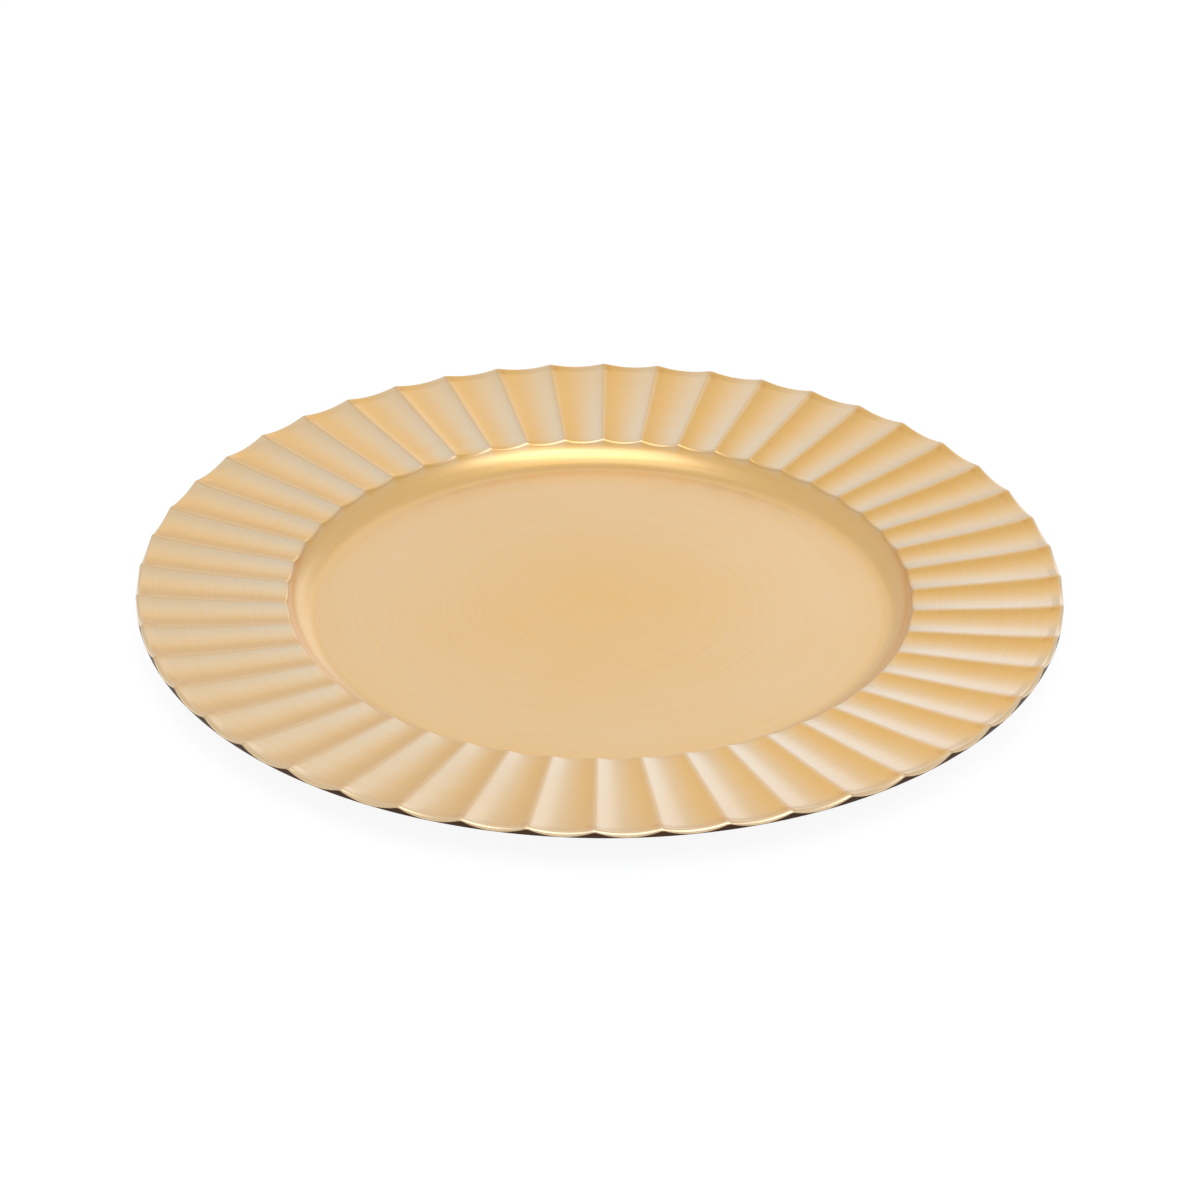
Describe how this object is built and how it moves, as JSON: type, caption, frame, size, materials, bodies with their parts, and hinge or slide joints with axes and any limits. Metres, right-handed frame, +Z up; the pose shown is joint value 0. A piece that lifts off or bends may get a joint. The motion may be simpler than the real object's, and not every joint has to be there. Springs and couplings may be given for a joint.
{
  "type": "fluted serving tray",
  "caption": "Round sheet-metal serving tray with a flat well, a wide fluted rim and a turned-down edge stiffened by a wire hoop.",
  "frame": {"origin": "centre of the flat underside, at the bottom centre of the bounding box", "axes": "+Z up along the tray's axis, +X along a ridge between two flutes"},
  "size_m": [0.33, 0.33, 0.0155],
  "materials": {
    "gilt_sheet": "pale gold, fine circular brushing under a clear satin lacquer",
    "dark_wire": "dark drawn iron wire",
    "solder": "dull grey soft solder"
  },
  "bodies": {
    "root": {"tray_sheet": "gilt_sheet", "edge_wire": "dark_wire", "solder_tacks": "solder"}
  },
  "joints": []
}
